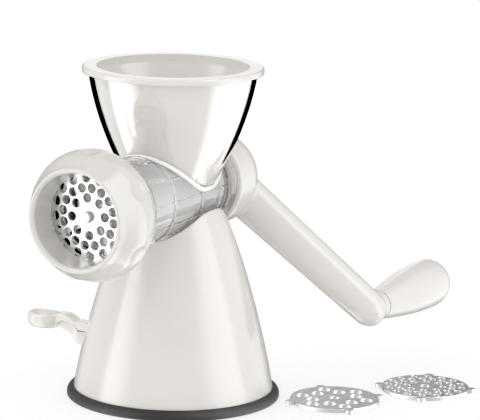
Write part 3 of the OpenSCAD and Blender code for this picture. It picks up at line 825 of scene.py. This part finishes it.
def make_barrel():
    flange_front = flange_t - flange_back
    line = rounded([(0, -flange_back), (flange_r, -flange_back, 1), (flange_r, flange_front, 1),
                    (barrel_r, flange_front), (barrel_r, 0), (barrel_r + taper, collar_back),
                    (collar_r, collar_back, 0.6), (collar_r, mouth_back - 1), (mouth_r, mouth_back + 2, 0.8),
                    (mouth_r, mouth_front, 0.8), (0, mouth_front)])
    barrel = lathe("barrel", line, forward, steps=256)
    parts = [barrel_rib(disc_turn + 2 * pi * i / rib_count) for i in range(rib_count)]
    parts += [rib_ring(s) for s in rib_rings]
    parts.append(hopper_solid(0, 0))
    post_up, screw_up = 12, 7
    parts += [rod(fix_r, deck_low + gap, deck_low + gap + post_up, centre=place) for place in screw_places]
    key_low, key_high = (barrel_r - 1, -3, flange_front - 0.01), (barrel_r + 1.2, 3, flange_front + 1.8)
    parts.append(block(key_low, key_high, forward, radians(6)))
    join(barrel, parts)
    inside = cut(hopper_solid(hopper_wall, 1), [rod(barrel_r, -FAR, FAR, forward, steps=256)])
    tools = [inside, throat(), rod(bore_r, -wall_front, recess_back + 1, forward, steps=192),
             rod(recess_r, recess_back, recess_back + recess_depth, forward, steps=192),
             rod(bush_r, -flange_back - 1, 0, forward)]
    notch = (tab_w + 0.6) / 2
    for k in range(4):
        tools.append(block((0, -notch, disc_back), (tab_r + gap, notch, disc_back + recess_depth), forward,
                           disc_turn + k * pi / 2))
    tools += [rod(screw_r, deck_low - 1, deck_low + screw_up, centre=place) for place in screw_places]
    cut(barrel, tools)
    dress(smooth(barrel, 28), "barrel_shell", "base", "clear_plastic", CLEAR, "barrel")


def make_nut():
    outlet_r = disc_r - 1.8
    inner_r = mouth_r + gap
    dimple_r, dimple_depth, dimple_place, dimple_edge = 20, 2.4, nut_front - 13, 0.5
    dimple_step = radians(60)
    crest_r = 2.2

    def dimpled(a, r, z):
        """Ball-shaped dimples around the nut's side."""
        if r < nut_r - 9 or z > nut_front - 2:
            return r, z
        off = (a - dimple_step / 2) % dimple_step
        off = min(off, dimple_step - off)
        middle = nut_r + dimple_r - dimple_depth
        flat = middle * cos(off)
        room = flat * flat - middle * middle - (z - dimple_place) ** 2 + dimple_r ** 2
        if room <= 0:
            return r, z
        return -softer(-r, -(flat - sqrt(room)), dimple_edge), z

    outer = [(nut_r - 6.6, nut_front - 3.5), (nut_r - 4.2, nut_front - 7.5), (nut_r - 1.9, nut_front - 11.5),
             (nut_r - 0.6, nut_front - 15), (nut_r, nut_front - 18.5), (nut_r - 0.2, nut_back + 5),
             (nut_r - 1.2, nut_back + 1.4), (nut_r - 2.3, nut_back)]
    crest = Vector((outlet_r + 4.4, nut_front - 2.25))
    lip = [crest + Vector((cos(radians(t)), sin(radians(t)))) * crest_r for t in range(170, 40, -12)]
    line = rounded([(outlet_r, disc_face), (outlet_r, disc_face + 0.4), (outlet_r + 2.4, nut_front - 3)])
    line += through_points(lip[:-1] + [Vector(p) for p in outer], 6)
    line += rounded([(nut_r - 2.6, nut_back), (inner_r, nut_back, 0.4), (inner_r, disc_face)])
    nut = lathe("nut", [tuple(p) for p in line], forward, steps=360, closed=True, shape=dimpled)
    # the nut's darker white is painted shade on the same white plastic
    dress(smooth(nut, 40), "nut_shell", "nut", "white_plastic", NUT_SHADED_WHITE, "ring_nut")


def make_disc(name, node, body, rings, turn, place):
    """A cutting disc with four tabs. rings lists (count, radius, first angle, hole diameter)."""
    bevel, tab_steps, edge_steps = 0.25, 16, 24
    half = tab_w / 2
    start = atan2(half, sqrt(disc_r ** 2 - half ** 2))
    quarter = []
    for i in range(tab_steps + 1):
        t = pi * i / tab_steps
        quarter.append((tab_r - half + half * sin(t), -half * cos(t)))
    for i in range(edge_steps + 1):
        t = start + (pi / 2 - 2 * start) * i / edge_steps
        quarter.append((disc_r * cos(t), disc_r * sin(t)))
    outline = []
    for k in range(4):
        c, s = cos(turn + k * pi / 2), sin(turn + k * pi / 2)
        outline += [(x * c - y * s, x * s + y * c) for x, y in quarter]
    levels = [(1 - bevel / disc_r, 0), (1, bevel), (1, disc_t - bevel), (1 - bevel / disc_r, disc_t)]
    edge = [[(x * k, y * k, z) for x, y in outline] for k, z in levels]
    disc = skin("disc", [[(0, 0, 0)]] + edge + [[(0, 0, disc_t)]], place)

    def hole(r, x, y):
        wide = r + bevel + 1
        line = [(0, -1), (wide, -1), (r, bevel), (r, disc_t - bevel), (wide, disc_t + 1), (0, disc_t + 1)]
        return lathe("hole", line, lambda p: place((p[0] + x, p[1] + y, p[2])), steps=48)

    holes = [hole(stud_r + running, 0, 0)]
    for count, radius, first, d in rings:
        for i in range(count):
            a = turn + radians(first) + 2 * pi * i / count
            holes.append(hole(d / 2, radius * cos(a), radius * sin(a)))
    cut(disc, [gather(holes[0], holes[1:])])
    dress(smooth(disc, 30), name, body, "steel", DISC_STEEL, node)


def make_discs():
    medium = [(8, inner_ring, 0, medium_hole), (16, middle_ring, 11.25, medium_hole),
              (16, outer_ring, 0, medium_hole)]
    coarse = [(6, coarse_inner, 0, coarse_hole), (6, coarse_outer, 30, coarse_hole)]
    make_disc("disc_plate", "front_disc", "cutting_disc", medium, disc_turn,
              lambda p: forward((p[0], p[1], p[2] + disc_back)))
    for name, node, body, rings, turn in (("coarse_plate", "coarse_disc", "spare_coarse", coarse, 45),
                                          ("medium_plate", "medium_disc", "spare_medium", medium, 20)):
        low, high = node_box(node)
        middle = (low + high) / 2
        make_disc(name, node, body, rings, radians(turn),
                  lambda p, middle=middle: upright((p[0] + middle.x, p[1] + middle.y, p[2])))


def make_shaft():
    half = square_w / 2
    stud_root, stud_end = disc_back - 10, disc_face + 2.9
    thrust_r, thrust_back, thrust_front = 9, -13, -9.99
    tap_r, tap_depth = 2.5, 12
    line = rounded([(0, stud_root), (stud_r, stud_root), (stud_r, stud_end, 1.6), (0, stud_end)], 8)
    shaft = lathe("shaft", line, forward)
    join(shaft, [block((-half, -half, -10), (half, half, disc_back - gap), forward),
                 rod(thrust_r, thrust_back, thrust_front, forward),
                 rod(journal_r, -hub_front - 2.5, thrust_back + 0.5, forward),
                 block((-half, -half, -tail_back), (half, half, -hub_front - 2), forward)])
    cut(shaft, [rod(tap_r, -tail_back - 1, -tail_back + tap_depth, forward)])
    dress(smooth(shaft, 30), "shaft_core", "crank", "steel", STEEL, "drive_shaft")


def make_auger():
    back, outer, core_r, pitch = 9.7, bore_r - 0.7, 7.5, 25
    front = disc_back - gap - blade_t - 0.2
    turn_steps, core_steps = 72, 20
    count = round((front + back) / pitch * turn_steps)
    # half the flight's section as (radius, angle), from its edge down to the core
    root = 0.5
    section = [(outer, 1.1 / outer), (outer - 0.3, 1.25 / outer), ((outer + core_r) / 2, 1.7 / 14.4),
               (core_r + 2.2, 2 / 9.7), (core_r + 0.7, 3.1 / 8.2), (core_r, root)]
    shape = [(r, -a) for r, a in section]
    shape += [(core_r, -root - (2 * pi - 2 * root) * k / core_steps) for k in range(1, core_steps)]
    shape += [(r, a) for r, a in reversed(section)]
    rings = [[(0, 0, -back)]]
    for i in range(count + 1):
        s = -back + (front + back) * i / count
        phase = -2 * pi * (s + back) / pitch
        rings.append([(r * cos(a + phase), r * sin(a + phase), s) for r, a in shape])
    rings.append([(0, 0, front)])
    auger = skin("auger", rings, forward)
    dress(smooth(auger, 50), "auger_flight", "crank", "white_plastic", WHITE, "auger_screw")


def make_crank():
    dome_h, hub_edge = hub_r - 1.5, 0.9
    thin_at_root = 0.86
    tail_hole_r, screw_hole_r, pin_hole_r = 8, 2.7, 3.5

    def back_along(p):
        return forward((p[0], p[1], -p[2]))

    dome = [(hub_r * cos(radians(a)), dome_back + dome_h * sin(radians(a))) for a in range(0, 90, 6)]
    hub = lathe("hub", [(0, hub_front), (hub_r - hub_edge, hub_front), (hub_r, hub_front + hub_edge)] + dome
                + [(0, dome_back + dome_h)], back_along)
    lean = arm_lean * arm_root / crank_throw
    root = Vector((arm_root * cos(crank_drop), arm_back + lean, axis_h - arm_root * sin(crank_drop)))
    along = (elbow - root).normalized()
    flat = Vector((0, 1, 0))
    wide = along.cross(flat).normalized()
    deep = wide.cross(along).normalized()
    rings = [[tuple(root)]]
    steps, around = 24, 72
    for i in range(steps + 1):
        t = i / steps
        centre = root.lerp(elbow, t)
        r = arm_root_r + (arm_tip_r - arm_root_r) * t
        thin = thin_at_root + (1 - thin_at_root) * t
        turns = [2 * pi * k / around for k in range(around)]
        rings.append([tuple(centre + wide * r * cos(u) + deep * r * thin * sin(u)) for u in turns])
    rings.append([tuple(elbow)])
    arm = skin("arm", rings)
    ends = [ball(arm_root_r, root, (1, thin_at_root, 1)), ball(arm_tip_r, elbow),
            rod(neck_r, elbow.y, grip_start - gap, backward, steps=96)]
    crank = melt(gather(hub, [arm] + ends), 0.8, 10)
    smooth(crank, 180)
    seat = arm_back + 4
    cut(crank, [rod(tail_hole_r, seat, seat + 40, back_along),
                rod(screw_hole_r, dome_back, seat + 1, back_along),
                rod(pin_hole_r, elbow.y - 6, elbow.y + 30, backward)])
    dress(smooth(crank, 50), "crank_casting", "crank", "white_plastic", WHITE, "crank_arm")


def grip_at(t):
    """Radius of the grip's side at a share of its length."""
    return neck_r + (grip_r - neck_r) * sin(pi / 2 * min(t / 0.8, 1)) ** 1.15


def end_height(r, end):
    """Distance back to the grip's rounded end at a radius."""
    for (r0, y0), (r1, y1) in zip(end, end[1:]):
        if r1 <= r <= r0:
            return y0 + (y1 - y0) * (r0 - r) / (r0 - r1)
    return grip_end


def make_grip():
    turn, end_r, side_steps = 0.84, 11, 40
    bore, pocket_r, pocket_end = 3.55, 7.5, grip_end - 28
    face_r = pocket_r + 1.6
    cap_low = grip_end - 2.4
    side = []
    for i in range(side_steps + 1):
        t = turn * i / side_steps
        side.append((grip_at(t), grip_start + t * grip_len))
    end = []
    for degrees_round in range(6, 91, 6):
        a = radians(degrees_round)
        end.append((grip_r - end_r * (1 - cos(a)), grip_start + (turn + (1 - turn) * sin(a)) * grip_len))
    line = rounded([(bore, grip_start + 1), (bore, grip_start, 0.2), (neck_r, grip_start, 0.5), side[2]])[:-1]
    line += [Vector(p) for p in side[2:] + end if p[1] < grip_end - 0.01]
    # the end's middle is left to the cap
    line = [p for p in line if not (p[1] > cap_low and p[0] < face_r + 0.15)]
    mouth = [(face_r + 0.1, end_height(face_r + 0.1, end)), (face_r, cap_low)]
    pocket = [(pocket_r, cap_low), (pocket_r, pocket_end), (bore, pocket_end)]
    grip = lathe("grip", [tuple(p) for p in line] + mouth + pocket, backward, closed=True)
    dress(smooth(grip), "grip_shell", "grip", "white_plastic", WHITE, "hand_grip")
    cap = rounded([(0, cap_low), (face_r - 0.1, cap_low), (face_r - 0.1, end_height(face_r - 0.1, end), 0.25),
                   (0, grip_end - 0.05)])
    cap_piece = lathe("cap", [tuple(p) for p in cap], backward)
    join(cap_piece, [rod(pocket_r, cap_low - 7, cap_low + 0.2, backward)])
    dress(smooth(cap_piece), "grip_plug", "grip", "white_plastic", WHITE, "grip_cap")


def make_paddle():
    """The lever's finger plate: a rounded block, longer than wide, with a shallow dish on top."""
    low, stretch, around = 5.6, 2.5, 96
    dish_r, dish_h = 19.5, 21.5

    def place(p):
        return Vector((p[0] - lever_out - paddle_out, p[1], p[2] + lever_h - low)) * MM

    line = rounded([(0, 0.4), (6.4, 0.4, 1.2), (8.5, 3.2, 1.2), (8.5, 8.2, 1.2), (6.4, 10.2, 1.2), (0, 10.2)])
    step = 2 * pi / around
    rings = []
    for r, z in line:
        if r < TINY:
            rings.append([(0, 0, z)])
            continue
        ring = []
        for k in range(around):
            aside = stretch if cos(step * (k + 0.5)) > 0 else -stretch
            ring.append((r * cos(step * k) + aside, r * sin(step * k), z))
        rings.append(ring)
    paddle = skin("paddle", rings, place)
    return cut(paddle, [ball(dish_r, (-lever_out - paddle_out, 0, lever_h + dish_h))])


def make_lever():
    half = lever_w / 2
    pivot_r, pin_hole_r, tail_half, tip_r = 5.2, 2.05, 2.4, 3

    def side_rod(x, z, r, w=half):
        return rod(r, -w, w, beside_lever, (x, z), 64)

    arch = side_rod(-30.5, -8.4, 13.6)
    cut(arch, [side_rod(-arch_out, -arch_low, arch_in_r, half + 1),
               block((-60, -40, -10), (10, -4, 10), beside_lever)])
    root_line = [(-18.5, -4), (-20, 2), (-13, 1.2), (0, 5), (0, -5), (-4, -4)]
    root = slab("root", root_line, -half, half, beside_lever)
    tail = block((0, -tail_half, -half), (tail_len, tail_half, half), beside_lever, -tail_drop)
    tip = side_rod(tail_len * cos(tail_drop), -tail_len * sin(tail_drop), tip_r)
    web_line = [(-40, -2), (-35.5, -2.8), (-25.2, -7.5), (-18, -7.6), (-14, -3), (-18, 0), (-27, 3), (-35, 2)]
    web = slab("web", web_line, -web_w / 2, web_w / 2, beside_lever)
    lever = melt(gather(arch, [root, tail, tip, side_rod(0, 0, pivot_r), web, make_paddle()]), 0.4, 8)
    cut(lever, [side_rod(0, 0, pin_hole_r, half + 2)])
    dress(smooth(lever, 60), "lever_arm", "lever", "white_plastic", WHITE, "suction_lever")


# Camera: the photograph's view, measured on the foot, the hopper's rim and the nut
CAMERA = {"azimuth": radians(29.5), "elevation": radians(12.07), "roll": radians(1.15), "distance": 1.8}
FOCAL_PIXELS = 2975
FRAME_WIDTH_PIXELS = 480
AIM_RIGHT = 0.0387
AIM_UP = 0.0152
AIM_HEIGHT = 0.1


def make_camera():
    az, el = CAMERA["azimuth"], CAMERA["elevation"]
    back = Vector((sin(az) * cos(el), -cos(az) * cos(el), sin(el)))
    centre = Vector((0, 0, AIM_HEIGHT))
    eye = centre + back * CAMERA["distance"]
    target = centre + Vector((cos(az), sin(az), 0)) * AIM_RIGHT + UP * AIM_UP
    behind = (eye - target).normalized()
    right = UP.cross(behind).normalized()
    up = behind.cross(right)
    c, s = cos(CAMERA["roll"]), sin(CAMERA["roll"])
    rolled = Matrix((right * c + up * s, up * c - right * s, behind)).transposed()
    lens = bpy.data.cameras.new("camera")
    lens.sensor_width = 36
    lens.lens = lens.sensor_width * FOCAL_PIXELS / FRAME_WIDTH_PIXELS
    lens.clip_end = 100
    camera = bpy.data.objects.new("camera", lens)
    camera.matrix_world = Matrix.Translation(eye) @ rolled.to_4x4()
    bpy.context.scene.collection.objects.link(camera)
    bpy.context.scene.camera = camera


# Stage
def make_floor():
    """A white floor. What a camera sees of it is mostly its own white, with some of the light and shadow on
    it."""
    reach = 6
    shade = 0.35
    material = bpy.data.materials.new("floor_white")
    material.use_nodes = True
    tree = material.node_tree
    diffuse = tree.nodes["Principled BSDF"]
    diffuse.inputs["Base Color"].default_value = (0.97, 0.97, 0.97, 1)
    diffuse.inputs["Roughness"].default_value = 0.8
    diffuse.inputs["Specular IOR Level"].default_value = 0
    glow = tree.nodes.new("ShaderNodeEmission")
    mix = tree.nodes.new("ShaderNodeMixShader")
    path = tree.nodes.new("ShaderNodeLightPath")
    tree.links.new(arithmetic(tree, "MULTIPLY", path.outputs["Is Camera Ray"], 1 - shade), mix.inputs["Fac"])
    tree.links.new(diffuse.outputs["BSDF"], mix.inputs[1])
    tree.links.new(glow.outputs["Emission"], mix.inputs[2])
    tree.links.new(mix.outputs["Shader"], tree.nodes["Material Output"].inputs["Surface"])
    mesh = bpy.data.meshes.new("floor")
    corners = [Vector((x * reach, y * reach, 0)) for x, y in ((-1, -1), (1, -1), (1, 1), (-1, 1))]
    mesh.from_pydata(corners, [], [(0, 1, 2, 3)])
    mesh.materials.append(material)
    floor = bpy.data.objects.new("floor", mesh)
    bpy.context.scene.collection.objects.link(floor)
    floor.visible_glossy = False
    floor.visible_transmission = False


def by_bearing(tree, bearing, levels):
    """A value that runs in straight lines between (degrees right of the camera's side, level) pairs."""
    most = max(level for _, level in levels)
    ramp = tree.nodes.new("ShaderNodeValToRGB")
    elements = ramp.color_ramp.elements
    while len(elements) < len(levels):
        elements.new(0.5)
    for element, (degrees_right, level) in zip(elements, levels):
        element.position = degrees_right / 360 + 0.5
        element.color = (*[level / most] * 3, 1)
    tree.links.new(bearing, ramp.inputs["Fac"])
    return arithmetic(tree, "MULTIPLY", ramp.outputs["Color"], most)


def make_world():
    """A white studio, lighter above. Reflections also show a bright panel on each side, and they and the rays
    that come through the clear plastic see a dark screen on each side behind the object. Both stop short of
    straight up and down."""
    light_above, light_level = 1.12, 0.92
    panels = [(-83, 0), (-80, 4.4), (-66, 3.4), (-50, 0),
              (30, 0), (50, 3.8), (80, 4.2), (83, 1.6), (112, 1.2), (135, 0)]
    left_panel = panels[:4]
    screens = [(-177, 0), (-175, 1), (-150, 1), (-140, 0), (140, 0), (150, 1), (175, 1), (177, 0)]
    screen_gloss = 0.75
    slant_from, slant_degrees = 0.26, 33
    top = 0.93
    world = bpy.data.worlds.new("studio")
    world.use_nodes = True
    bpy.context.scene.world = world
    tree = world.node_tree
    direction = tree.nodes.new("ShaderNodeTexCoord").outputs["Generated"]

    def along(vector):
        node = tree.nodes.new("ShaderNodeVectorMath")
        node.operation = "DOT_PRODUCT"
        node.inputs[1].default_value = vector
        tree.links.new(direction, node.inputs[0])
        return node.outputs["Value"]

    az = CAMERA["azimuth"]
    turn = arithmetic(tree, "ARCTAN2", along((cos(az), sin(az), 0)), along((sin(az), -cos(az), 0)))
    bearing = arithmetic(tree, "MULTIPLY_ADD", turn, 1 / (2 * pi), 0.5)
    height = along((0, 0, 1))
    path = tree.nodes.new("ShaderNodeLightPath")
    first = arithmetic(tree, "LESS_THAN", path.outputs["Diffuse Depth"], 0.5)
    glossy = arithmetic(tree, "MULTIPLY", path.outputs["Is Glossy Ray"], first)
    through = arithmetic(tree, "MULTIPLY", path.outputs["Is Transmission Ray"], first)
    low = arithmetic(tree, "LESS_THAN", arithmetic(tree, "ABSOLUTE", height), top)
    # low down the panels slant away to the sides, and the left one is there a second time without that
    slant = arithmetic(tree, "MINIMUM", arithmetic(tree, "SUBTRACT", height, slant_from), 0)
    aside = arithmetic(tree, "SUBTRACT", bearing, 0.5)
    spread = arithmetic(tree, "MULTIPLY_ADD", slant, slant_degrees / 360, arithmetic(tree, "ABSOLUTE", aside))
    spread = arithmetic(tree, "MAXIMUM", spread, 0)
    slanted = arithmetic(tree, "MULTIPLY_ADD", arithmetic(tree, "SIGN", aside), spread, 0.5)
    panel = arithmetic(tree, "MAXIMUM", by_bearing(tree, slanted, panels),
                       by_bearing(tree, bearing, left_panel))
    bright = arithmetic(tree, "MULTIPLY", panel, arithmetic(tree, "MULTIPLY", glossy, low))
    facing = arithmetic(tree, "MULTIPLY_ADD", glossy, screen_gloss, through)
    screen = by_bearing(tree, bearing, screens)
    dark = arithmetic(tree, "MULTIPLY", screen, arithmetic(tree, "MULTIPLY", facing, low))
    shown = arithmetic(tree, "SUBTRACT", arithmetic(tree, "ADD", bright, 1), dark)
    above = arithmetic(tree, "MAXIMUM", height, 0)
    lit = arithmetic(tree, "MULTIPLY_ADD", above, light_above - light_level, light_level)
    seen = arithmetic(tree, "MAXIMUM", path.outputs["Is Camera Ray"], path.outputs["Is Glossy Ray"])
    seen = arithmetic(tree, "MAXIMUM", seen, path.outputs["Is Transmission Ray"])
    step = arithmetic(tree, "MULTIPLY", arithmetic(tree, "SUBTRACT", shown, lit), seen)
    strength = arithmetic(tree, "ADD", lit, step)
    background = tree.nodes["Background"]
    background.inputs["Color"].default_value = (1, 1, 1, 1)
    tree.links.new(strength, background.inputs["Strength"])


def make_lamp(name, place, aim, size, power):
    lamp = bpy.data.lights.new(name, "AREA")
    lamp.shape = "RECTANGLE"
    lamp.size, lamp.size_y = size
    lamp.energy = power
    holder = bpy.data.objects.new(name, lamp)
    bpy.context.scene.collection.objects.link(holder)
    holder.location = place
    holder.rotation_euler = (Vector(place) - Vector(aim)).to_track_quat("Z", "Y").to_euler()
    holder.visible_glossy = False


bpy.context.scene.view_settings.view_transform = "Standard"
make_camera()
make_floor()
make_world()
make_lamp("key", (-0.7, -1.3, 1.5), (0, 0, 0.12), (1.2, 1.2), 3)
dress_nodes()
make_foot()
make_cone()
make_funnel()
make_barrel()
make_bead()
make_nut()
make_discs()
make_shaft()
make_auger()
make_crank()
make_grip()
make_lever()
